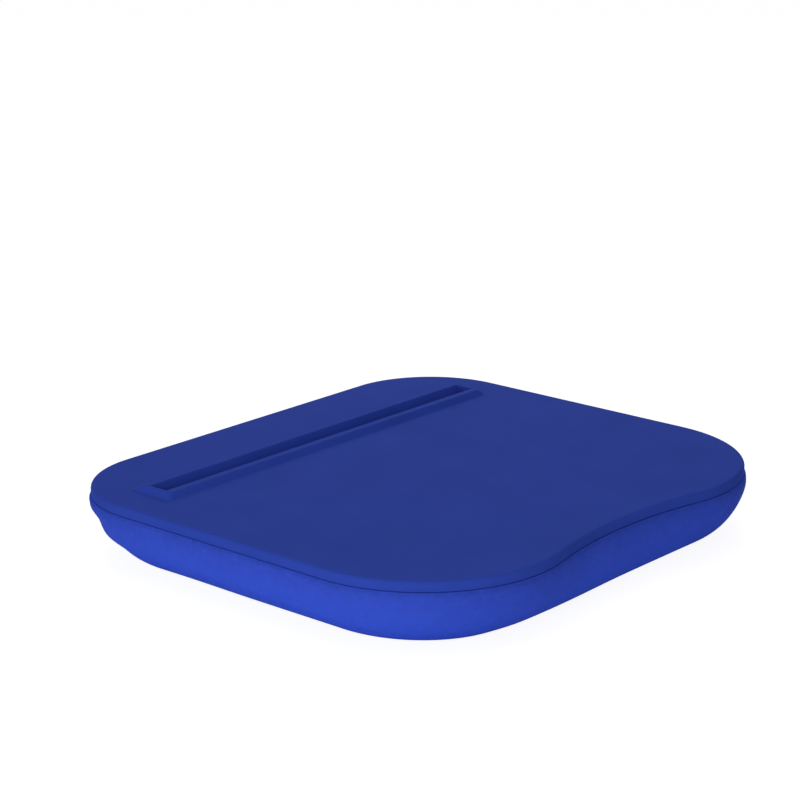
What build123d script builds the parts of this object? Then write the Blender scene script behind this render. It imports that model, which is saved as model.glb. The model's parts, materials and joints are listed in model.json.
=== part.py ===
from build123d import *
from math import atan, cos, degrees, asin, radians, sin
import os

# A lap tray: a thin moulded board with a slot for a standing device, on a bead-filled cushion
# that comes away from it. Millimetres. X runs along the slot, +Y towards the back, +Z up.
# The origin is the middle of the footprint, on the surface that the cushion stands on.

# Board
board_width = 297.0
board_depth = 264.0
front_corner_radius = 73.5
back_corner_radius = 55.0
wrist_dip = 8.8
rim_height = 5.4
rim_wall = 2.5
rim_top_round = 2.0
rim_foot_round = 0.8
plate_thickness = 2.5
rib_thickness = 1.5
rib_height = 2.0
rib_side_setback = 28.5
rib_front_gap = 6.0
rib_count = 3

# Device slot, and the raised ridge round it
slot_length = 244.4
slot_mouth = 12.0
slot_floor = 7.5
slot_depth = 8.5
slot_wall = 2.0
slot_setback = 61.4
ridge_height = 3.0
ridge_front_land = 4.0
ridge_back_land = 4.0
ridge_end_land = 1.8
ridge_front_slope = 3.0
ridge_back_slope = 6.0
ridge_end_slope = 2.8
ridge_corner_radius = 3.0
ridge_edge_round = 0.7

# Hook and loop strips between the board and the cushion
strip_width = 25.0
strip_corner_radius = 3.0
hook_thickness = 1.2
loop_thickness = 1.2
strip_side_setback = 32.5
strip_front_setback = 49.0
strip_slot_setback = 52.5
strip_middle_gap = 32.0

# Carrier panel, the stiff top of the cushion
carrier_thickness = 2.5
carrier_side_gap = 0.8
channel_gap = 0.8
channel_floor_gap = 0.5
channel_wall = 2.0
channel_corner_radius = 1.5
hem_groove_depth = 1.3
hem_groove_side_gap = 0.1

# Cushion
cushion_rise = 31.8
cushion_bulge = 1.0
widest_drop = 3.5
foot_draw_in = 25.0
foot_corner_ease = 12.0
shoulder_draw_in = 2.0
floor_cut = 0.5
soft_gap = 0.4
lining_gap = 0.4
cover_fabric = 1.2
hem_width = 8.0
hem_elastic_diameter = 2.0
bag_fabric = 0.6

# Levels of the cushion's form, as turns in degrees of its lower and its shoulder curve,
# each with the share of the board's wrist dip that is left in its front. The lower levels
# also have the share of the foot's corner ease by which their back corners draw in.
# The power sets how full the lower curve is: it is an ellipse at 1, and leaner above 1.
lower_turns = (90.0, 66.0, 44.0, 22.0, 0.0)
lower_dip_shares = (0.02, 0.06, 0.26, 0.58, 0.88)
lower_ease_shares = (1.0, 0.95, 0.8, 0.45, 0.0)
lower_power = 1.14
shoulder_turns = (45.0, 90.0)
shoulder_dip_shares = (0.94, 0.98)

# How far a cutting solid runs past what it cuts
overrun = 5.0

# Heights
board_top = cushion_rise + rim_height
plate_under = board_top - plate_thickness
ridge_top = board_top + ridge_height
slot_floor_height = ridge_top - slot_depth
trough_bottom = slot_floor_height - slot_wall
carrier_top = plate_under - hook_thickness - loop_thickness
carrier_bottom = carrier_top - carrier_thickness
channel_floor = trough_bottom - channel_floor_gap
channel_bottom = channel_floor - channel_wall
cover_shoulder = cushion_rise - soft_gap
widest_height = cushion_rise - widest_drop

# Places front to back
slot_front = board_depth / 2 - slot_setback
slot_back = slot_front + slot_mouth
slot_lean = atan((slot_mouth - slot_floor) / slot_depth)
ridge_front = slot_front - ridge_front_land
ridge_back = slot_back + ridge_back_land
ridge_half_length = slot_length / 2 + ridge_end_land

# Insets from the board's outline
carrier_inset = rim_wall + carrier_side_gap + cover_fabric
hem_inset = carrier_inset + hem_width
groove_width = hem_elastic_diameter + 2 * hem_groove_side_gap

# Strips and ribs, in the space that the hem and the slot leave
strip_length = board_width / 2 - strip_side_setback - strip_middle_gap / 2
strip_side_place = (strip_middle_gap + strip_length) / 2
strip_front_place = strip_front_setback - board_depth / 2
strip_middle_place = slot_front - strip_slot_setback
rib_place = (strip_front_place + strip_middle_place) / 2
rib_spacing = (strip_middle_place - strip_front_place - strip_width) / rib_count
spine_front = wrist_dip - board_depth / 2 + hem_inset + rib_front_gap
spine_back = slot_front - slot_wall


def tray_plan(grow, dip=wrist_dip, ease=0.0):
    """The tray's plan, grown outward, with a dip that deep in the middle of its front edge,
    and with its back corners eased to a radius that much larger."""
    front_radius = front_corner_radius + grow
    back_radius = back_corner_radius + ease + grow
    front_x = board_width / 2 - front_corner_radius
    front_y = front_corner_radius - board_depth / 2
    back_x = board_width / 2 - back_corner_radius - ease
    back_y = board_depth / 2 - back_corner_radius - ease
    side = board_width / 2 + grow
    back = board_depth / 2 + grow
    dip_radius = (front_x**2 / dip + dip) / 2 - front_radius
    lean = degrees(asin(front_x / (front_radius + dip_radius)))
    turn_x = front_x - front_radius * sin(radians(lean))
    turn_y = front_y - front_radius * cos(radians(lean))
    dip_y = front_y - front_radius + dip
    with BuildSketch() as plan:
        with BuildLine():
            ThreePointArc((-turn_x, turn_y), (0, dip_y), (turn_x, turn_y))
            CenterArc((front_x, front_y), front_radius, 270 - lean, 90 + lean)
            Line((side, front_y), (side, back_y))
            CenterArc((back_x, back_y), back_radius, 0, 90)
            Line((back_x, back), (-back_x, back))
            CenterArc((-back_x, back_y), back_radius, 90, 90)
            Line((-side, back_y), (-side, front_y))
            CenterArc((-front_x, front_y), front_radius, 180, 90 + lean)
        make_face()
    return plan.sketch


def slot_back_at(height, out=0.0):
    """Where the slot's leaning back wall stands at a height, moved out square to itself."""
    rise = height - slot_floor_height
    return slot_front + slot_floor + rise * (slot_mouth - slot_floor) / slot_depth + out / cos(slot_lean)


def plate_between(front, back, half_length, corner_radius):
    """A rounded rectangle from front to back, centred across the tray."""
    with BuildSketch() as plate:
        with Locations((0, (front + back) / 2)):
            RectangleRounded(2 * half_length, back - front, corner_radius)
    return plate.sketch


def lower_levels(inset):
    """Height, growth, dip and back corner ease of each level from the foot to the widest."""
    foot_height = widest_height + floor_cut - inset
    foot_reach = foot_draw_in - inset
    levels = []
    for turn, dip_share, ease_share in zip(lower_turns, lower_dip_shares, lower_ease_shares):
        height = widest_height - foot_height * sin(radians(turn))**lower_power
        grow = cushion_bulge - foot_draw_in + foot_reach * cos(radians(turn))**lower_power
        levels.append((height, grow, dip_share * wrist_dip, ease_share * foot_corner_ease))
    return levels


def shoulder_levels(inset):
    """The levels above the widest one, where the form draws in under the board's rim."""
    shoulder_height = cover_shoulder - widest_height - inset
    shoulder_reach = shoulder_draw_in - inset
    levels = []
    for turn, dip_share in zip(shoulder_turns, shoulder_dip_shares):
        height = widest_height + shoulder_height * sin(radians(turn))
        grow = cushion_bulge - shoulder_draw_in + shoulder_reach * cos(radians(turn))
        levels.append((height, grow, dip_share * wrist_dip, 0.0))
    return levels


def swollen_form(levels, inset):
    """A form lofted through levels, cut flat at the height inset, where it stands."""
    with BuildPart() as form:
        for height, grow, dip, ease in levels:
            with BuildSketch(Plane.XY.offset(height)):
                add(tray_plan(grow, dip, ease))
        loft()
        split(bisect_by=Plane.XY.offset(inset), keep=Keep.TOP)
    return form.part


def cover_form(inset):
    """The cover's form, from where it stands up to its shoulder, drawn in all round by inset."""
    levels = lower_levels(inset)
    with BuildPart() as form:
        add(swollen_form(levels, inset))
        add(swollen_form(levels[-1:] + shoulder_levels(inset), inset))
    return form.part


def lining_form(inset):
    """What fits inside the cover below the panel, drawn in all round by inset."""
    levels = lower_levels(inset)
    with BuildPart() as form:
        add(swollen_form(levels, inset))
        with BuildSketch(Plane.XY.offset(widest_height)):
            add(tray_plan(*levels[-1][1:]))
        extrude(amount=cover_shoulder - widest_height)
        split(bisect_by=Plane.XY.offset(carrier_bottom - inset + cover_fabric), keep=Keep.BOTTOM)
    return form.part


def channel_block(out, top):
    """The block that the panel's channel fills, grown by out, from its underside up to top."""
    bottom = channel_floor - out
    front = slot_front - slot_wall - channel_gap - out
    back = slot_back_at(carrier_top, slot_wall) + channel_gap + out
    half_length = slot_length / 2 + slot_wall + channel_gap + out
    with BuildPart() as block:
        with BuildSketch(Plane.XY.offset(bottom)):
            add(plate_between(front, back, half_length, channel_corner_radius + out))
        extrude(amount=top - bottom)
    return block.part


# Top board: plate, rim, slot trough, ridge and underside ribs in one moulding
with BuildPart() as top_board:
    with BuildSketch(Plane.XY.offset(cushion_rise)):
        add(tray_plan(0))
    extrude(amount=rim_height)
    fillet(top_board.faces().sort_by(Axis.Z)[-1].edges(), radius=rim_top_round)
    fillet(top_board.faces().sort_by(Axis.Z)[0].edges(), radius=rim_foot_round)
    with BuildSketch(Plane.XY.offset(cushion_rise)):
        add(tray_plan(-rim_wall))
    extrude(amount=plate_under - cushion_rise, mode=Mode.SUBTRACT)
    with BuildSketch(Plane.XY.offset(board_top)):
        add(plate_between(ridge_front - ridge_front_slope, ridge_back + ridge_back_slope,
                          ridge_half_length + ridge_end_slope, ridge_corner_radius))
    with BuildSketch(Plane.XY.offset(ridge_top)):
        add(plate_between(ridge_front, ridge_back, ridge_half_length, ridge_corner_radius))
    loft(ruled=True)
    fillet(top_board.faces().sort_by(Axis.Z)[-1].edges(), radius=ridge_edge_round)
    with BuildSketch(Plane.YZ):
        with BuildLine():
            Polyline((slot_front - slot_wall, plate_under),
                     (slot_front - slot_wall, trough_bottom),
                     (slot_back_at(trough_bottom, slot_wall), trough_bottom),
                     (slot_back_at(plate_under, slot_wall), plate_under),
                     close=True)
        make_face()
    extrude(amount=slot_length / 2 + slot_wall, both=True)
    with BuildSketch(Plane.XY.offset(plate_under)):
        with Locations((0, rib_place)):
            with GridLocations(0, rib_spacing, 1, rib_count):
                Rectangle(board_width - 2 * rib_side_setback, rib_thickness)
        with Locations((0, (spine_front + spine_back) / 2)):
            Rectangle(rib_thickness, spine_back - spine_front)
    extrude(amount=-rib_height)
    with BuildSketch(Plane.YZ):
        with BuildLine():
            Polyline((slot_front, ridge_top + overrun),
                     (slot_front, slot_floor_height),
                     (slot_back_at(slot_floor_height), slot_floor_height),
                     (slot_back_at(ridge_top), ridge_top),
                     (slot_back_at(ridge_top), ridge_top + overrun),
                     close=True)
        make_face()
    extrude(amount=slot_length / 2, both=True, mode=Mode.SUBTRACT)
top_board.part.label = "top_board"

# Carrier panel: the cushion's stiff top, with a channel that clears the slot's trough
with BuildPart() as carrier_panel:
    with BuildSketch(Plane.XY.offset(carrier_bottom)):
        add(tray_plan(-carrier_inset))
    extrude(amount=carrier_thickness)
    add(channel_block(channel_wall, carrier_top))
    add(channel_block(0, carrier_top + overrun), mode=Mode.SUBTRACT)
    with BuildSketch(Plane.XY.offset(carrier_top - hem_groove_depth)):
        add(tray_plan(-hem_inset))
        add(tray_plan(-hem_inset - groove_width), mode=Mode.SUBTRACT)
    extrude(amount=hem_groove_depth, mode=Mode.SUBTRACT)
carrier_panel.part.label = "carrier_panel"

# Cushion cover: one stretch-fabric shell that wraps over the panel's edge to a hem on top
with BuildPart() as cushion_cover:
    add(cover_form(0))
    with BuildSketch(Plane.XY.offset(widest_height)):
        add(tray_plan(cover_fabric - carrier_inset))
    extrude(amount=carrier_top + cover_fabric - widest_height)
    add(cover_form(cover_fabric), mode=Mode.SUBTRACT)
    with BuildSketch(Plane.XY.offset(widest_height)):
        add(tray_plan(-carrier_inset))
    extrude(amount=carrier_top - widest_height, mode=Mode.SUBTRACT)
    with BuildSketch(Plane.XY.offset(carrier_bottom)):
        add(tray_plan(-hem_inset))
    extrude(amount=carrier_thickness + cover_fabric + overrun, mode=Mode.SUBTRACT)
cushion_cover.part.label = "cushion_cover"

# Hem elastic: a loop in the panel's groove, which holds the cover's hem
elastic_height = carrier_top - hem_groove_depth + hem_elastic_diameter / 2
elastic_inset = hem_inset + groove_width / 2
with BuildSketch(Plane.XY.offset(elastic_height)) as elastic_plan:
    add(tray_plan(-elastic_inset))
elastic_path = elastic_plan.sketch.face().outer_wire()
with BuildPart() as hem_elastic:
    with BuildSketch(Plane(origin=elastic_path @ 0, z_dir=elastic_path % 0)):
        Circle(hem_elastic_diameter / 2)
    sweep(path=elastic_path)
hem_elastic.part.label = "hem_elastic"

# Bead bag: the closed inner bag, pressed in under the panel's channel
bag_inset = cover_fabric + lining_gap
with BuildPart() as bead_bag:
    add(lining_form(bag_inset))
    add(channel_block(channel_wall + lining_gap, carrier_top), mode=Mode.SUBTRACT)
    with BuildPart(mode=Mode.PRIVATE) as bag_inside:
        add(lining_form(bag_inset + bag_fabric))
        add(channel_block(channel_wall + lining_gap + bag_fabric, carrier_top), mode=Mode.SUBTRACT)
    add(bag_inside.part, mode=Mode.SUBTRACT)
bead_bag.part.label = "bead_bag"

# Bead fill: the beads, as one solid that fills the bag
fill_inset = bag_inset + bag_fabric + lining_gap
with BuildPart() as bead_fill:
    add(lining_form(fill_inset))
    add(channel_block(channel_wall + bag_fabric + 2 * lining_gap, carrier_top), mode=Mode.SUBTRACT)
bead_fill.part.label = "bead_fill"

os.makedirs("parts", exist_ok=True)
export_step(top_board.part, "parts/top_board.step")
export_step(carrier_panel.part, "parts/carrier_panel.step")
export_step(cushion_cover.part, "parts/cushion_cover.step")
export_step(hem_elastic.part, "parts/hem_elastic.step")
export_step(bead_bag.part, "parts/bead_bag.step")
export_step(bead_fill.part, "parts/bead_fill.step")

# Hook and loop strips: hooks under the board, loops on the panel, one pair at each place
strip_back_place = (slot_back_at(carrier_top, slot_wall + channel_wall) + board_depth / 2 - hem_inset) / 2
strip_places = {
    "front_left": (-strip_side_place, strip_front_place),
    "front_right": (strip_side_place, strip_front_place),
    "middle_left": (-strip_side_place, strip_middle_place),
    "middle_right": (strip_side_place, strip_middle_place),
    "back": (0, strip_back_place),
}
strip_kinds = {
    "hook_strip": (plate_under - hook_thickness, hook_thickness),
    "loop_strip": (carrier_top, loop_thickness),
}
for kind, (bottom, thickness) in strip_kinds.items():
    for place, centre in strip_places.items():
        with BuildPart() as strip:
            with BuildSketch(Plane.XY.offset(bottom)):
                with Locations(centre):
                    RectangleRounded(strip_length, strip_width, strip_corner_radius)
            extrude(amount=thickness)
        strip.part.label = f"{kind}_{place}"
        export_step(strip.part, f"parts/{kind}_{place}.step")
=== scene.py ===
import json
import math
import bpy
import numpy as np
from mathutils import Matrix, Vector


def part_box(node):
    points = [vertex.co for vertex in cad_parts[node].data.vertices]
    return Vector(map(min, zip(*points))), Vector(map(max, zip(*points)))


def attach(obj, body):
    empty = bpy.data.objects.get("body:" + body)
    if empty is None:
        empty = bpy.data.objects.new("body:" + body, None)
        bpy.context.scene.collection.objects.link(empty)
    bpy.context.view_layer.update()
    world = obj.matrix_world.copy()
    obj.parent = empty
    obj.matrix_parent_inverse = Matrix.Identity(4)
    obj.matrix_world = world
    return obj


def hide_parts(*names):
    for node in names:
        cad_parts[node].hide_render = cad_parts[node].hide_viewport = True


# A lap tray: a matte moulded board with a slot near its back, on a bead-filled fabric cushion.
# Metres, in the part's own frame: X along the slot, +Y towards the back, Z up from the floor.

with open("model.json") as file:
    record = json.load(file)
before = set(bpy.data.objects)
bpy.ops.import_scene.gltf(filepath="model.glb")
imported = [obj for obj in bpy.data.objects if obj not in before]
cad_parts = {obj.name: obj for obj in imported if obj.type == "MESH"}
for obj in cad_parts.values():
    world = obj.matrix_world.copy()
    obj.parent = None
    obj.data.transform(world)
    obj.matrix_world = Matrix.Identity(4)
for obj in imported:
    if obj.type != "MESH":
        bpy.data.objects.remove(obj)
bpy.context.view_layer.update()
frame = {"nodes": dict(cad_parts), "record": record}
nodes = frame["nodes"]
scene = bpy.context.scene

# Sizes read from the frame
board_low, board_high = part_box("top_board")
panel_low, panel_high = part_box("carrier_panel")
board_width = board_high.x - board_low.x
board_depth = board_high.y - board_low.y
panel_width = panel_high.x - panel_low.x
panel_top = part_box("loop_strip_back")[0].z

# The board's section
ridge_height = 0.003
rim_height = 0.0054
board_top = board_high.z - ridge_height
rim_foot = board_top - rim_height

# The plan that board and cushion share
front_corner_radius = 0.0735
back_corner_radius = 0.055
wrist_dip = 0.0088
front_x = board_width / 2 - front_corner_radius
front_y = front_corner_radius - board_depth / 2

# Points on a ring round the tray
dip_points = 56
front_corner_points = 56
side_points = 56
back_corner_points = 44
back_points = 72

# The cushion's side, from the hem on top of the panel down to the foot
cloth_thickness = 0.0012
hem_inset = 0.0125
neck_inset = (board_width - panel_width) / 2 - cloth_thickness
soft_gap = 0.00005
shoulder_height = rim_foot - soft_gap
shoulder_draw_in = 0.0010
cushion_bulge = 0.001
widest_drop = 0.0035
widest_height = rim_foot - widest_drop
foot_draw_in = 0.025
foot_corner_ease = 0.012
lower_power = 1.14


def new_object(name, data):
    """An object for a mesh, a lamp or the camera, linked to the scene."""
    made = bpy.data.objects.new(name, data)
    scene.collection.objects.link(made)
    return made


def arc(centre, radius, start, turn, count):
    """Points along an arc, without its last one. Angles are in degrees."""
    turns = np.radians(start + turn * np.arange(count) / count)
    return np.column_stack([centre[0] + radius * np.cos(turns), centre[1] + radius * np.sin(turns)])


def straight(start, end, count):
    """Points along a line, without its last one."""
    shares = np.arange(count)[:, None] / count
    return np.array(start) + shares * (np.array(end) - np.array(start))


def tray_plan(grow, dip, ease):
    """The tray's plan as a ring of points, grown outward, with a wrist dip that deep, and with
    its back corners eased to a radius that much larger."""
    front_radius = front_corner_radius + grow
    back_radius = back_corner_radius + ease + grow
    back_x = board_width / 2 - back_corner_radius - ease
    back_y = board_depth / 2 - back_corner_radius - ease
    side = board_width / 2 + grow
    back = board_depth / 2 + grow
    dip_radius = (front_x**2 / dip + dip) / 2 - front_radius
    lean = math.degrees(math.asin(front_x / (front_radius + dip_radius)))
    dip_centre = (0, front_y - front_radius + dip - dip_radius)
    return np.vstack([
        arc(dip_centre, dip_radius, 90 + lean, -2 * lean, dip_points),
        arc((front_x, front_y), front_radius, 270 - lean, 90 + lean, front_corner_points),
        straight((side, front_y), (side, back_y), side_points),
        arc((back_x, back_y), back_radius, 0, 90, back_corner_points),
        straight((back_x, back), (-back_x, back), back_points),
        arc((-back_x, back_y), back_radius, 90, 90, back_corner_points),
        straight((-side, back_y), (-side, front_y), side_points),
        arc((-front_x, front_y), front_radius, 180, 90 + lean, front_corner_points),
    ])


# Camera, solved from the board's outline and the slot's ridge in the photograph
camera_azimuth = math.radians(-49.30)
camera_elevation = math.radians(16.39)
camera_distance = 1.24985
camera_across = 0.01545
camera_down = 0.03535
camera_near = 0.05
camera_far = 30
aim = Vector((0, 0, board_top))

# Its lens and sensor, in millimetres
camera_lens = 107.535
camera_sensor = 36


def make_camera():
    """The photograph's camera."""
    back = Vector((math.sin(camera_azimuth) * math.cos(camera_elevation),
                   -math.cos(camera_azimuth) * math.cos(camera_elevation),
                   math.sin(camera_elevation)))
    right = Vector((math.cos(camera_azimuth), math.sin(camera_azimuth), 0))
    up = back.cross(right)
    camera = new_object("camera", bpy.data.cameras.new("camera"))
    camera.data.sensor_width = camera_sensor
    camera.data.lens = camera_lens
    camera.data.clip_start = camera_near
    camera.data.clip_end = camera_far
    camera.rotation_mode = "QUATERNION"
    camera.rotation_quaternion = Matrix((right, up, back)).transposed().to_quaternion()
    camera.location = aim + back * camera_distance - right * camera_across + up * camera_down
    scene.camera = camera


make_camera()
scene.view_settings.view_transform = "Standard"


# Cushion cover
class Level:
    """One ring of the cover: its growth from the board's outline, its height, its shares of the
    wrist dip and of the foot's corner ease, and how firmly it is held, from 0 to 1."""

    def __init__(self, grow, height, dip_share, ease_share=0.0, held=1.0):
        self.grow = grow
        self.height = height
        self.dip_share = dip_share
        self.ease_share = ease_share
        self.held = held


# The hem, from its inner edge outward: shares of the hem's inset and of the neck's inset, and cloth
# thicknesses outward and above the panel
hem_shares = (
    (1, 0, 0, 0.05),
    (1, 0, 0, 0.55),
    (1, 0, 0.25, 0.92),
    (1, 0, 0.9, 1),
    (0.7, 0.3, 0, 1),
    (0.4, 0.6, 0, 1),
    (0.15, 0.85, 0, 1),
    (0, 1, -0.35, 0.85),
    (0, 1, 0, 0.35),
    (0, 1, 0, -0.3),
)

# The neck beside the panel's edge: cloth thicknesses outward and above the shoulder
neck_shares = ((0.05, 0.25), (0.4, 0))

# How much of the wrist dip the cushion follows at its top, its widest line and its foot
top_dip_share = 0.98
widest_dip_share = 0.88
foot_dip_share = 0.02
dip_fade_power = 4

# Levels down the shoulder and the side, and the underside's rings as shares of the foot's
shoulder_steps = 6
side_steps = 24
sole_shares = (0.975, 0.93, 0.87, 0.80, 0.72, 0.63, 0.53, 0.43, 0.33, 0.23, 0.14, 0.07, 0.025)

# The shoulder is held less and less towards the widest line, by this power, and the side more and
# more from this share of the way down to the floor
shoulder_held_power = 2
foot_held_share = 0.93


def cover_levels():
    """The cover's levels, from the hem on top of the panel, over its edge and down to the foot."""
    levels = []
    for hem_share, neck_share, out_share, up_share in hem_shares:
        grow = out_share * cloth_thickness - hem_share * hem_inset - neck_share * neck_inset
        levels.append(Level(grow, panel_top + up_share * cloth_thickness, dip_share=1.0))
    for out_share, up_share in neck_shares:
        grow = out_share * cloth_thickness - neck_inset
        levels.append(Level(grow, shoulder_height + up_share * cloth_thickness, dip_share=1.0))
    for step in range(shoulder_steps):
        turn = 90 - 90 * step / shoulder_steps
        height = widest_height + (shoulder_height - widest_height) * math.sin(math.radians(turn))
        grow = cushion_bulge - shoulder_draw_in * (1 - math.cos(math.radians(turn)))
        dip_share = widest_dip_share + (top_dip_share - widest_dip_share) * turn / 90
        levels.append(Level(grow, height, dip_share, held=(turn / 90)**shoulder_held_power))
    for step in range(side_steps + 1):
        turn = 90 * step / side_steps
        lower = math.sin(math.radians(turn))**lower_power
        reach = max(math.cos(math.radians(turn)), 0.0)**lower_power
        height = widest_height * (1 - lower)
        grow = cushion_bulge - foot_draw_in * (1 - reach)
        dip_share = foot_dip_share + (widest_dip_share - foot_dip_share) * reach**dip_fade_power
        ease_share = math.sin(math.radians(turn))
        held = max(0.0, lower - foot_held_share) / (1 - foot_held_share)
        levels.append(Level(grow, height, dip_share, ease_share, held))
    return levels


def cover_grid():
    """The cover's points, level by level, with how firmly each level is held."""
    levels = cover_levels()
    rings = []
    for level in levels:
        plan = tray_plan(level.grow, level.dip_share * wrist_dip, level.ease_share * foot_corner_ease)
        rings.append(np.column_stack([plan, np.full(len(plan), level.height)]))
    foot = rings[-1]
    for share in sole_shares:
        rings.append(foot * (share, share, 1))
    held = [level.held for level in levels] + [1.0] * len(sole_shares)
    return np.array(rings), np.array(held)


def ring_mesh(name, rings):
    """A mesh of quads over rings of points, closed in the middle of the last ring, with a UV map
    in metres: round the tray along U and down the side along V."""
    level_count, column_count = rings.shape[:2]
    vertices = rings.reshape(-1, 3).tolist() + [rings[-1].mean(axis=0).tolist()]
    middle = len(vertices) - 1
    steps = np.linalg.norm(np.diff(rings[:, 0], axis=0), axis=1)
    down = np.concatenate([[0], np.cumsum(steps)])
    widest = rings[np.argmax(rings[:, :, 0].max(axis=1))]
    around_steps = np.linalg.norm(np.roll(widest, -1, axis=0) - widest, axis=1)
    around = np.concatenate([[0], np.cumsum(around_steps)])
    faces = []
    coordinates = []
    for level in range(level_count - 1):
        for column in range(column_count):
            after = (column + 1) % column_count
            faces.append((level * column_count + column, (level + 1) * column_count + column,
                          (level + 1) * column_count + after, level * column_count + after))
            coordinates += [(around[column], down[level]), (around[column], down[level + 1]),
                            (around[column + 1], down[level + 1]), (around[column + 1], down[level])]
    last = (level_count - 1) * column_count
    end = down[-1] + np.linalg.norm(rings[-1, 0] - rings[-1].mean(axis=0))
    for column in range(column_count):
        after = (column + 1) % column_count
        faces.append((last + column, middle, last + after))
        coordinates += [(around[column], down[-1]), (around[column], end),
                        (around[column + 1], down[-1])]
    mesh = bpy.data.meshes.new(name)
    mesh.from_pydata(vertices, [], faces)
    layer = mesh.uv_layers.new(name="cloth")
    layer.data.foreach_set("uv", np.array(coordinates).ravel())
    mesh.validate()
    mesh.update()
    return mesh


def add_piece(name, mesh, body):
    """An object for a mesh, shaded smooth, that rides on a body."""
    piece = new_object(name, mesh)
    for polygon in mesh.polygons:
        polygon.use_smooth = True
    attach(piece, body)
    return piece


def points_of(mesh):
    """A mesh's vertices as an array."""
    flat = np.empty(len(mesh.vertices) * 3)
    mesh.vertices.foreach_get("co", flat)
    return flat.reshape(-1, 3)


# How hard the beads press, and for how many frames
bead_pressure = 30.0
press_frames = 20


def inflate(rings, held):
    """The rings after the beads press the cloth outward, as a cloth simulation moves it."""
    mesh = ring_mesh("cover_form", rings)
    piece = new_object("cover_form", mesh)
    pins = piece.vertex_groups.new(name="held")
    column_count = rings.shape[1]
    for level, weight in enumerate(held):
        first = level * column_count
        pins.add(list(range(first, first + column_count)), float(weight), "REPLACE")
    pins.add([len(mesh.vertices) - 1], 1.0, "REPLACE")
    cloth = piece.modifiers.new("cloth", "CLOTH")
    cloth.settings.quality = 5
    cloth.settings.mass = 0.15
    cloth.settings.tension_stiffness = 2
    cloth.settings.compression_stiffness = 2
    cloth.settings.shear_stiffness = 0.2
    cloth.settings.bending_stiffness = 0.1
    cloth.settings.vertex_group_mass = "held"
    cloth.settings.pin_stiffness = 1.0
    cloth.settings.use_pressure = True
    cloth.settings.uniform_pressure_force = bead_pressure
    cloth.settings.effector_weights.gravity = 0
    cloth.collision_settings.use_collision = False
    cloth.point_cache.frame_start = 1
    cloth.point_cache.frame_end = press_frames
    for number in range(1, press_frames + 1):
        scene.frame_set(number)
    settled = piece.evaluated_get(bpy.context.evaluated_depsgraph_get())
    points = points_of(settled.to_mesh())[:-1].reshape(rings.shape)
    settled.to_mesh_clear()
    bpy.data.objects.remove(piece)
    bpy.data.meshes.remove(mesh)
    scene.frame_set(1)
    return points


def halfway(before, near, far, after):
    """The points halfway between near and far, on the cubic through four evenly spaced points."""
    return (9 * (near + far) - before - after) / 16


def refined(rings):
    """The rings with a smooth one between each two, and twice the points round each."""
    following = np.concatenate([rings[1:], rings[-1:]])
    between = halfway(np.concatenate([rings[:1], rings[:-1]]), rings, following,
                      np.concatenate([rings[2:], rings[-1:], rings[-1:]]))
    levels = np.stack([rings, between], axis=1).reshape(-1, *rings.shape[1:])[:-1]
    between = halfway(np.roll(levels, 1, axis=1), levels, np.roll(levels, -1, axis=1),
                      np.roll(levels, -2, axis=1))
    return np.stack([levels, between], axis=2).reshape(len(levels), -1, 3)


def outward(rings):
    """Which way is outward at each point of the rings, level with the floor."""
    along = np.roll(rings, -1, axis=1) - np.roll(rings, 1, axis=1)
    out = np.stack([along[..., 1], -along[..., 0], np.zeros(along.shape[:2])], axis=2)
    return out / np.linalg.norm(out, axis=2, keepdims=True)


# How far the simulated swell is carried on, because the cloth is still moving when it stops
swell_gain = 2.2
swell_cap = 0.003

# Soft bulges and hollows: x and y on the plan, height, half width round the tray, half height, out
dents = [
    (-0.139, 0.108, 0.0275, 0.016, 0.0025, 0.0003),
    (-0.141, 0.103, 0.0215, 0.017, 0.0045, -0.0015),
    (-0.137, 0.099, 0.0145, 0.012, 0.0035, 0.0004),
    (-0.138, 0.088, 0.0085, 0.009, 0.0032, -0.0021),
    (-0.136, 0.078, 0.0050, 0.010, 0.0040, -0.0005),
    (-0.134, 0.045, 0.0030, 0.030, 0.0060, -0.0006),
    (-0.120, 0.124, 0.0120, 0.012, 0.0050, 0.0008),
    (0.146, 0.104, 0.0170, 0.020, 0.0055, -0.0012),
    (0.139, 0.116, 0.0090, 0.014, 0.0040, 0.0010),
    (0.128, 0.124, 0.0200, 0.016, 0.0050, 0.0007),
    (-0.095, -0.131, 0.0140, 0.020, 0.0060, -0.0004),
    (-0.086, -0.115, 0.0030, 0.013, 0.0060, -0.0011),
    (-0.038, -0.119, 0.0050, 0.034, 0.0060, 0.0011),
    (0.010, -0.123, 0.0150, 0.014, 0.0070, -0.0005),
    (0.062, -0.130, 0.0130, 0.018, 0.0060, -0.0006),
    (0.128, -0.104, 0.0150, 0.022, 0.0060, -0.0007),
    (0.124, -0.115, 0.0282, 0.034, 0.0024, -0.0003),
    (0.148, -0.010, 0.0140, 0.030, 0.0070, 0.0006),
    (-0.148, 0.010, 0.0130, 0.035, 0.0060, 0.0005),
    (-0.060, 0.132, 0.0150, 0.030, 0.0070, 0.0006),
    (0.045, 0.132, 0.0120, 0.026, 0.0060, -0.0006),
]

# Gathers: waves round the ring, with the height of each at its fullest
hem_waves = ((173, 0.00010), (131, 0.00013), (97, 0.00010))
shoulder_waves = ((137, 0.00005), (89, 0.00007), (61, 0.00008))

# How a gather's waves swell and fade round the ring, and how each starts after the one before
fade_share = 0.45
fade_turns = 3
fade_shift = 1.7
wave_shift = 2.1

# The hem is what lies higher above the shoulder than this share of the cloth's thickness
hem_rise_share = 0.3

# The gathers under the rim: where they start and how far they spread, as shares of the way from
# the shoulder down to the widest line, and the height that they end at
gather_start_share = 0.2
gather_spread_share = 1.1
gather_lowest = 0.01


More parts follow.
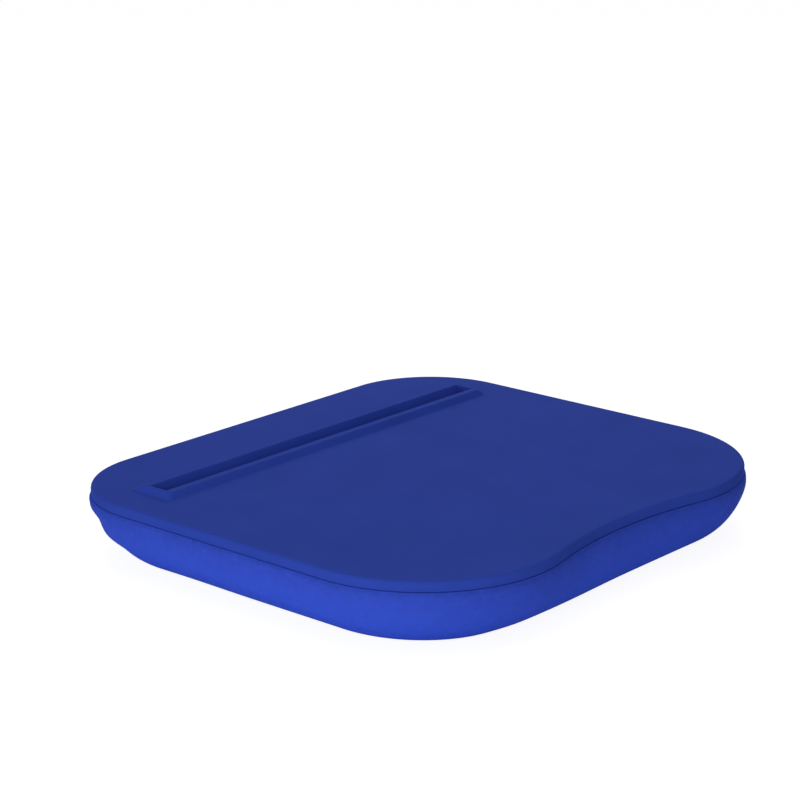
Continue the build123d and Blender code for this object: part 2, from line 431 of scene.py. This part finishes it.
def soften(rings):
    """The rings with the soft bulges and hollows that loose beads leave in the cloth."""
    out = outward(rings)
    shift = np.zeros(rings.shape[:2])
    for x, y, height, half_width, half_height, depth in dents:
        across = np.hypot(rings[..., 0] - x, rings[..., 1] - y) / half_width
        tall = (rings[..., 2] - height) / half_height
        shift += depth * np.exp(-across**2 - tall**2)
    return rings + out * shift[..., None]


def waves(count, table):
    """Irregular gathers round a ring, from a few waves that swell and fade."""
    turn = 2 * math.pi * np.arange(count) / count
    total = np.zeros(count)
    for order, (number, depth) in enumerate(table):
        swelling = np.sin((order + fade_turns) * turn + fade_shift * order)
        fade = 1 - fade_share + fade_share * swelling
        total += depth * fade * np.sin(number * turn + wave_shift * order)
    return total


def gather(rings):
    """The rings with the cloth gathered by the elastic: on top of the panel, and under the rim."""
    out = outward(rings)
    heights = rings[:, 0, 2]
    insets = cushion_bulge - (rings[:, :, 0].max(axis=1) - board_width / 2)
    hem = (heights > shoulder_height + hem_rise_share * cloth_thickness) & (insets > neck_inset)
    drop = (shoulder_height - heights) / (shoulder_height - widest_height)
    gathered = (drop > gather_start_share) & (heights > gather_lowest)
    under_rim = np.where(gathered, np.exp(-((drop - 1.0) / gather_spread_share)**2), 0.0)
    fullest = sum(depth for number, depth in hem_waves)
    lift = hem[:, None] * (fullest + waves(rings.shape[1], hem_waves))
    shift = under_rim[:, None] * waves(rings.shape[1], shoulder_waves)
    raised = rings + out * shift[..., None]
    raised[..., 2] += lift
    return raised


def soft_cover():
    """The cover's rings, pressed out by the beads, dented and gathered by the elastic."""
    rings, held = cover_grid()
    out = outward(rings)
    swell = ((inflate(rings, held) - rings) * out).sum(axis=2) * swell_gain
    swell -= swell.mean(axis=1, keepdims=True)
    swell = np.clip(swell, -swell_cap, swell_cap) * (1 - held[:, None])
    rings = rings + out * swell[..., None]
    return gather(refined(soften(rings)))


cover_mesh = ring_mesh("cover", soft_cover())
cover = add_piece("cover", cover_mesh, "cushion")
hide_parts("cushion_cover")


# Materials
def colour(red, green, blue):
    """A colour from its sRGB numbers, 0 to 255."""
    linear = [((number / 255 + 0.055) / 1.055)**2.4 if number > 10 else number / 255 / 12.92
              for number in (red, green, blue)]
    return (*linear, 1.0)


# The mix node's colour sockets, which share their names with its other sockets
mix_first = 6
mix_second = 7
mix_result = 2


class Graph:
    """A node tree in the making, with short calls for the nodes that the materials share."""

    def __init__(self, tree):
        self.tree = tree

    def put(self, socket, value):
        """Sets a socket to a value, or joins it to another socket."""
        if isinstance(value, bpy.types.NodeSocket):
            self.tree.links.new(value, socket)
        else:
            socket.default_value = value

    def node(self, kind, **inputs):
        """A node of a kind, with its inputs by name."""
        made = self.tree.nodes.new(kind)
        for name, value in inputs.items():
            self.put(made.inputs[name.replace("_", " ")], value)
        return made

    def calc(self, operation, first, second=0.0, clamp=False):
        """A math node's result."""
        made = self.tree.nodes.new("ShaderNodeMath")
        made.operation = operation
        made.use_clamp = clamp
        self.put(made.inputs[0], first)
        self.put(made.inputs[1], second)
        return made.outputs[0]

    def span(self, value, low, high, to_low, to_high):
        """A value mapped from one span to another, and kept inside it."""
        made = self.node("ShaderNodeMapRange", Value=value, From_Min=low, From_Max=high,
                         To_Min=to_low, To_Max=to_high)
        return made.outputs["Result"]

    def blend(self, share, first, second):
        """A colour between two colours."""
        made = self.tree.nodes.new("ShaderNodeMix")
        made.data_type = "RGBA"
        self.put(made.inputs["Factor"], share)
        self.put(made.inputs[mix_first], first)
        self.put(made.inputs[mix_second], second)
        return made.outputs[mix_result]


class Shade(Graph):
    """A material in the making. Values that are the same all over it are set on its shader."""

    def __init__(self, name, **values):
        self.material = bpy.data.materials.new(name)
        self.material.use_nodes = True
        super().__init__(self.material.node_tree)
        self.shader = self.tree.nodes["Principled BSDF"]
        for socket, value in values.items():
            title = socket.replace("_", " ").title().replace("Ior", "IOR")
            self.shader.inputs[title].default_value = value

    def place(self):
        """The point in the part's own frame, in metres."""
        return self.tree.nodes.new("ShaderNodeTexCoord").outputs["Object"]

    def axes(self, point):
        """A point's X, Y and Z."""
        parts = self.node("ShaderNodeSeparateXYZ", Vector=point)
        return [parts.outputs[axis] for axis in ("X", "Y", "Z")]

    def noise(self, place, size, detail=2.0, roughness=0.5):
        """Noise from 0 to 1 whose lumps are about size across."""
        made = self.node("ShaderNodeTexNoise", Vector=place, Scale=1 / size, Detail=detail,
                         Roughness=roughness)
        return made.outputs["Fac"]

    def vary(self, noise, low, high, spread=0.2):
        """Values from low to high, as the noise goes from 0.5 - spread to 0.5 + spread."""
        return self.span(noise, 0.5 - spread, 0.5 + spread, low, high)

    def cells(self, place, size):
        """How far a point is from the middle of its cell, where cells are about size across."""
        return self.node("ShaderNodeTexVoronoi", Vector=place, Scale=1 / size).outputs["Distance"]

    def wave(self, value, pitch):
        """A wave from -1 to 1 along a value."""
        return self.calc("SINE", self.calc("MULTIPLY", value, 2 * math.pi / pitch))

    def crossed(self, across, along, across_pitch, along_pitch):
        """Two waves crossed, from -1 to 1, as threads pass over and under."""
        return self.calc("MULTIPLY", self.wave(across, across_pitch), self.wave(along, along_pitch))

    def bump(self, height, depth, strength, under=None):
        """The normal of a surface with that relief, depth high, over another relief."""
        made = self.node("ShaderNodeBump", Height=height, Distance=depth, Strength=strength)
        if under is not None:
            self.put(made.inputs["Normal"], under)
        return made.outputs["Normal"]

    def finish(self, tone, roughness=None, normal=None):
        """Joins the shader to what varies over the surface."""
        for socket, value in (("Base Color", tone), ("Roughness", roughness), ("Normal", normal)):
            if value is not None:
                self.put(self.shader.inputs[socket], value)
        return self.material


edge_round = 0.0008


def board_plastic():
    """Fine matte moulded plastic: a spark-eroded grain, faint flow mottling, softened edges."""
    shade = Shade("board_plastic", specular_ior_level=0.055)
    dark = colour(39, 62, 155)
    light = colour(42, 65, 161)
    speck = colour(48, 71, 169)
    place = shade.place()
    mottle = shade.noise(place, size=0.035, detail=3)
    grain = shade.noise(place, size=0.00045, detail=2, roughness=0.6)
    fine = shade.noise(place, size=0.00018, detail=1)
    tone = shade.blend(shade.vary(mottle, 0, 1, spread=0.15), dark, light)
    tone = shade.blend(shade.vary(grain, 0, 0.25), tone, speck)
    rounded = shade.node("ShaderNodeBevel", Radius=edge_round).outputs["Normal"]
    relief = shade.bump(grain, depth=0.00004, strength=0.7, under=rounded)
    relief = shade.bump(fine, depth=0.00002, strength=0.6, under=relief)
    return shade.finish(tone, shade.vary(grain, 0.88, 0.98), relief)


def carrier_plastic():
    """Plain near-black moulded plastic with a leathery moulding texture."""
    shade = Shade("carrier_plastic", specular_ior_level=0.3)
    dark = colour(30, 31, 36)
    light = colour(38, 39, 44)
    place = shade.place()
    cells = shade.cells(place, size=0.0011)
    mottle = shade.noise(place, size=0.02)
    tone = shade.blend(shade.vary(mottle, 0, 1, spread=0.15), dark, light)
    rough = shade.span(cells, 0, 0.6, 0.56, 0.7)
    return shade.finish(tone, rough, shade.bump(cells, depth=0.00005, strength=0.6))


knit_wale = 0.00072
knit_course = 0.00058
knit_lean_share = 1.3
yarn_power = 0.6


def knit_relief(shade, uv):
    """Rows of interlocked V stitches, from 0 in the grooves to 1 on the yarn."""
    across, down = shade.axes(uv)[:2]
    fold = shade.calc("PINGPONG", shade.calc("MULTIPLY", across, 1 / knit_wale), 0.5)
    rows = shade.calc("MULTIPLY", down, 1 / knit_course)
    lean = shade.calc("ADD", rows, shade.calc("MULTIPLY", fold, knit_lean_share))
    course = shade.span(shade.wave(lean, 1), -1, 1, 0, 1)
    wale = shade.calc("ABSOLUTE", shade.wave(fold, 1))
    return shade.calc("MULTIPLY", shade.calc("POWER", wale, yarn_power), course)


# The cushion's tones, by depth under the rim's foot: painted shade under the rim, a painted light on the
# topmost strip against the rim's contact shadow, and painted light lower down, brighter towards the foot
lip_depth = 0.0005
lip_start_share = 0.4
lip_painted_light = colour(50, 77, 192)
crease_depth = 0.0024
crease_start_share = 0.2
crease_fray = 0.0011
crease_painted_shade = colour(45, 70, 175)
seam_depth = 0.0085
seam_painted_shade = colour(49, 73, 183)
side_tone = colour(54, 81, 203)
low_depth = 0.019
low_painted_light = colour(56, 89, 218)
shadow_drift = 0.0012

# Its mottling, and the tones of its grain and of the grooves between its stitches
mottle_dark = colour(36, 56, 150)
mottle_light = colour(68, 102, 238)
mottle_share = 0.08
mottle_reach = 0.14
grain_tone = colour(36, 56, 150)
grain_share = 0.12
groove_tone = colour(34, 55, 150)
groove_share = 0.22
groove_end_share = 0.35


def cover_tone(shade, place):
    """The cushion's colour: painted shade and painted light by depth under the rim, with ragged bounds, and
    mottled.
    """
    depth = shade.calc("SUBTRACT", rim_foot, shade.axes(place)[2])
    # Painted light on the topmost strip under the rim, against its contact shadow
    lip_light_share = shade.span(depth, lip_start_share * lip_depth, lip_depth, 1, 0)
    # Painted shade in the crease under the rim, with a ragged lower edge
    ragged = shade.noise(place, size=0.004, detail=4, roughness=0.6)
    ragged_shade_depth = shade.calc("ADD", depth, shade.vary(ragged, -crease_fray, crease_fray))
    crease_shade_share = shade.span(ragged_shade_depth, crease_start_share * crease_depth, crease_depth, 1, 0)
    shadow = shade.noise(place, size=0.03, detail=3)
    drifted = shade.calc("ADD", depth, shade.vary(shadow, -shadow_drift, shadow_drift))
    # Painted shade near the seam under the rim, giving way to the cloth's own tone lower down
    tone = shade.blend(shade.span(drifted, 0, seam_depth, 0, 1), seam_painted_shade, side_tone)
    # Painted light on the lower side, brighter towards the foot
    tone = shade.blend(shade.span(drifted, seam_depth, low_depth, 0, 1), tone, low_painted_light)
    tone = shade.blend(crease_shade_share, tone, crease_painted_shade)
    tone = shade.blend(lip_light_share, tone, lip_painted_light)
    mottle = shade.noise(place, size=0.0045, detail=3, roughness=0.6)
    darker = shade.span(mottle, 0.5 - mottle_reach, 0.5, mottle_share, 0)
    lighter = shade.span(mottle, 0.5, 0.5 + mottle_reach, 0, mottle_share)
    return shade.blend(lighter, shade.blend(darker, tone, mottle_dark), mottle_light)


def cover_fabric():
    """Bright blue knitted stretch fabric: fine V stitches, a soft fuzz and a trace of sheen."""
    shade = Shade("cover_fabric", specular_ior_level=0.05, sheen_weight=0.01, sheen_roughness=0.5,
                  sheen_tint=colour(120, 150, 255))
    uv = shade.tree.nodes.new("ShaderNodeUVMap")
    uv.uv_map = "cloth"
    knit = knit_relief(shade, uv.outputs["UV"])
    place = shade.place()
    grain = shade.noise(place, size=0.0016, detail=3, roughness=0.65)
    fuzz = shade.noise(place, size=0.0003, detail=2)
    tone = shade.blend(shade.vary(grain, grain_share, 0, spread=0.15), cover_tone(shade, place), grain_tone)
    tone = shade.blend(shade.span(knit, 0, groove_end_share, groove_share, 0), tone, groove_tone)
    relief = shade.bump(knit, depth=0.00012, strength=0.8)
    relief = shade.bump(grain, depth=0.00012, strength=0.5, under=relief)
    relief = shade.bump(fuzz, depth=0.00003, strength=0.5, under=relief)
    return shade.finish(tone, shade.vary(fuzz, 0.78, 0.92), relief)


strand_pitch = 0.0007


def elastic():
    """Round braided elastic: slanting strands crossed both ways."""
    shade = Shade("elastic", specular_ior_level=0.3, sheen_weight=0.2)
    dark = colour(26, 36, 92)
    light = colour(44, 62, 146)
    x, y = shade.axes(shade.place())[:2]
    one = shade.wave(shade.calc("ADD", x, y), strand_pitch)
    other = shade.wave(shade.calc("SUBTRACT", x, y), strand_pitch)
    braid = shade.calc("MAXIMUM", one, other)
    tone = shade.blend(shade.span(braid, -1, 1, 0, 1), dark, light)
    rough = shade.span(braid, -1, 1, 0.85, 0.7)
    return shade.finish(tone, rough, shade.bump(braid, depth=0.00008, strength=0.7))


# Touch tape: where its selvedge ends and its pile is full, as shares of half its width, and how
# high its woven base is, as a share of the pile
selvedge_share = 0.12
pile_share = 0.17
base_height_share = 0.35

# The pitches of its base's threads, and of its hooks along X and Y
base_pitch = 0.0008
hook_pitch_x = 0.0019
hook_pitch_y = 0.0015


def edge_distance(shade):
    """How near a point is to a strip's long edges, from 0 at an edge to 1 in the middle."""
    spread = shade.tree.nodes.new("ShaderNodeTexCoord").outputs["Generated"]
    fold = shade.calc("PINGPONG", shade.axes(spread)[1], 0.5)
    return shade.calc("MULTIPLY", fold, 2.0)


def touch_tape(name, looped):
    """Black touch tape: soft tangled loops, or rows of stiff hooks, on a woven base with a flat
    selvedge along each side."""
    shade = Shade(name, specular_ior_level=0.3, sheen_weight=0.25 if looped else 0.05)
    dark = colour(9, 9, 11)
    light = colour(46, 46, 52) if looped else colour(58, 58, 62)
    place = shade.place()
    x, y = shade.axes(place)[:2]
    inside = shade.span(edge_distance(shade), selvedge_share, pile_share, 0, 1)
    outside = shade.calc("SUBTRACT", 1.0, inside)
    weave = shade.span(shade.crossed(x, y, base_pitch, base_pitch), -1, 1, 0, base_height_share)
    if looped:
        tangle = shade.noise(place, size=0.0011, detail=4, roughness=0.75)
        pile = shade.vary(tangle, 0.3, 1, spread=0.12)
    else:
        pile = shade.span(shade.crossed(x, y, hook_pitch_x, hook_pitch_y), -0.1, 0.7, 0.2, 1)
    height = shade.calc("ADD", shade.calc("MULTIPLY", pile, inside),
                        shade.calc("MULTIPLY", weave, outside))
    tone = shade.blend(height, dark, light)
    rough = shade.span(height, 0, 1, 0.9, 0.6)
    return shade.finish(tone, rough, shade.bump(height, depth=0.0004, strength=0.9))


lining_pitch = 0.0005


def bag_fabric():
    """Thin white plain-woven lining."""
    shade = Shade("bag_fabric", specular_ior_level=0.2, sheen_weight=0.1)
    dark = colour(208, 207, 203)
    light = colour(232, 231, 228)
    x, y = shade.axes(shade.place())[:2]
    weave = shade.span(shade.crossed(x, y, lining_pitch, lining_pitch), -1, 1, 0, 1)
    tone = shade.blend(weave, dark, light)
    rough = shade.span(weave, 0, 1, 0.95, 0.8)
    return shade.finish(tone, rough, shade.bump(weave, depth=0.00008, strength=0.6))


bead_size = 0.0015


def beads():
    """White expanded beads."""
    shade = Shade("beads", specular_ior_level=0.4)
    dark = colour(196, 196, 198)
    light = colour(246, 246, 246)
    ball = shade.span(shade.cells(shade.place(), bead_size), 0, 0.7, 1, 0)
    tone = shade.blend(ball, dark, light)
    rough = shade.span(ball, 0, 1, 0.8, 0.55)
    return shade.finish(tone, rough, shade.bump(ball, depth=0.0006, strength=0.8))


materials = {
    "board_plastic": board_plastic(),
    "carrier_plastic": carrier_plastic(),
    "cover_fabric": cover_fabric(),
    "elastic": elastic(),
    "hook_tape": touch_tape("hook_tape", looped=False),
    "loop_tape": touch_tape("loop_tape", looped=True),
    "bag_fabric": bag_fabric(),
    "beads": beads(),
}


def paint(piece, material):
    """Gives a piece one material."""
    piece.data.materials.clear()
    piece.data.materials.append(material)


for subpart in frame["record"]["subparts"]:
    paint(nodes[subpart["node"]], materials[subpart["material_slot"]])
paint(cover, materials["cover_fabric"])


# Floor, world and lamps
white = (1, 1, 1, 1)
world_strength = 0.36
floor_height = -0.0002
floor_half = 6.0
floor_tone = (0.92, 0.92, 0.92, 1)
floor_seen_tone = (0.25, 0.25, 0.25, 1)
floor_seen_glow = 0.9

# Each lamp's name, its place from the middle of the board's face, its side and its watts
lamps = (
    ("key", (-0.76, -0.42, 0.10), 0.5, 3.7),
    ("side", (-1.6, 0.65, 0.28), 0.8, 5.9),
    ("overhead", (0, 0, 1.5), 1.2, 3.0),
    ("back", (1.1, 0.95, 0.75), 0.8, 6.7),
)


def seen_directly(graph):
    """1 for what the camera sees itself, in a mirror or through glass, and 0 for other light."""
    path = graph.tree.nodes.new("ShaderNodeLightPath")
    total = path.outputs["Is Camera Ray"]
    for name in ("Is Glossy Ray", "Is Transmission Ray"):
        total = graph.calc("ADD", total, path.outputs[name], clamp=True)
    return total


def make_world():
    """A room that lights the object softly from all sides, and is white where it is seen."""
    world = bpy.data.worlds.new("studio")
    scene.world = world
    world.use_nodes = True
    graph = Graph(world.node_tree)
    background = graph.tree.nodes["Background"]
    background.inputs["Color"].default_value = white
    strength = graph.span(seen_directly(graph), 0, 1, world_strength, 1)
    graph.put(background.inputs["Strength"], strength)


def floor_material():
    """White where it is seen, mostly by a glow, so that little of the object's shadow shows."""
    shade = Shade("floor", roughness=0.9, specular_ior_level=0.0, emission_color=white)
    seen = seen_directly(shade)
    glow = shade.calc("MULTIPLY", seen, floor_seen_glow)
    shade.put(shade.shader.inputs["Emission Strength"], glow)
    return shade.finish(shade.blend(seen, floor_tone, floor_seen_tone))


def make_floor():
    """A white floor that keeps part of the object's shadow."""
    corners = [(x * floor_half, y * floor_half, floor_height)
               for x, y in ((-1, -1), (1, -1), (1, 1), (-1, 1))]
    mesh = bpy.data.meshes.new("floor")
    mesh.from_pydata(corners, [], [(0, 1, 2, 3)])
    mesh.materials.append(floor_material())
    floor = new_object("floor", mesh)


def add_lamp(name, offset, size, watts):
    """A square area lamp that faces the tray."""
    lamp = bpy.data.lights.new(name, "AREA")
    lamp.shape = "SQUARE"
    lamp.size = size
    lamp.energy = watts
    holder = new_object(name, lamp)
    holder.location = aim + Vector(offset)
    holder.rotation_euler = (aim - holder.location).to_track_quat("-Z", "Y").to_euler()


make_world()
make_floor()
for lamp_values in lamps:
    add_lamp(*lamp_values)
